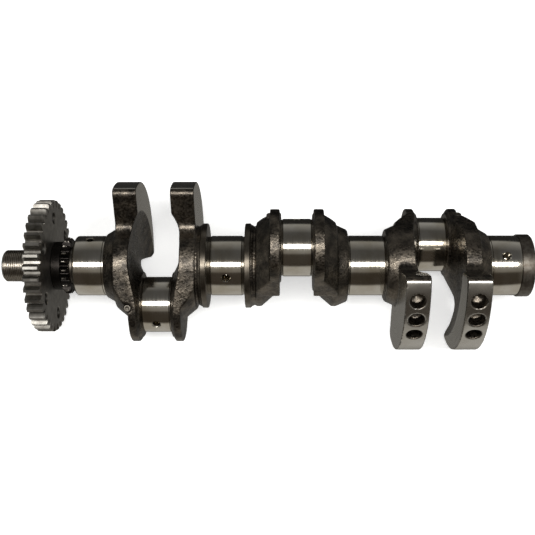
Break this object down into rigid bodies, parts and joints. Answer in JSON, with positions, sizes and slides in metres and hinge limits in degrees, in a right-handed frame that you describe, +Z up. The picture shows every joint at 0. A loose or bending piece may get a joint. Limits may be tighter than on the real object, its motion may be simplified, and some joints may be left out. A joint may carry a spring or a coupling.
{
  "type": "crankshaft",
  "caption": "Forged engine crankshaft with offset crank throws, counterweights with balance drillings, ground journals, a spur gear and chain sprocket on its threaded nose.",
  "frame": {"origin": "on the bench under the middle of the shaft's box: the shaft lies on the lower corners of its counterweights at Z = 0, and its main bearing axis is the line Y = 0, Z = 54.9 mm", "axes": "+X along the main bearing axis from the threaded nose to the output flange, +Z up through the middle crankpin, +Y towards the first throw's counterweights"},
  "size_m": [0.4246, 0.136, 0.1166],
  "materials": {
    "ground_steel": "ground and polished bearing steel, bright, faint lapping marks round the shaft",
    "forged_steel": "as-forged and shot-blasted dark steel, mottled, with worn glints",
    "machined_steel": "turned counterweight steel, satin, with fine arcs from the tool",
    "gear_steel": "case-hardened gear steel, satin gunmetal, turned faces",
    "black_steel": "black oxide on hardened steel, oiled, bright at the tooth tips",
    "turned_steel": "dark turned steel, matt",
    "thread_steel": "rolled thread, satin",
    "plug_steel": "plain bright steel plug and key"
  },
  "bodies": {
    "root": {"main_journal_1": "ground_steel", "main_journal_2": "ground_steel", "main_journal_3": "ground_steel", "main_journal_4": "ground_steel", "crankpin_1": "ground_steel", "crankpin_2": "ground_steel", "crankpin_3": "ground_steel", "web_1": "forged_steel", "web_2": "forged_steel", "web_3": "forged_steel", "web_4": "forged_steel", "web_5": "forged_steel", "web_6": "forged_steel", "counterweight_1": "machined_steel", "counterweight_2": "machined_steel", "counterweight_5": "machined_steel", "counterweight_6": "machined_steel", "thrust_collar_left": "turned_steel", "thrust_collar_right": "turned_steel", "output_flange": "turned_steel", "nose_seat": "turned_steel", "drive_gear": "gear_steel", "spacer_collar": "black_steel", "timing_sprocket": "black_steel", "nose_thread": "thread_steel", "oil_plug_1": "plug_steel", "oil_plug_2": "plug_steel", "oil_plug_3": "plug_steel", "drive_key": "plug_steel"}
  },
  "joints": []
}
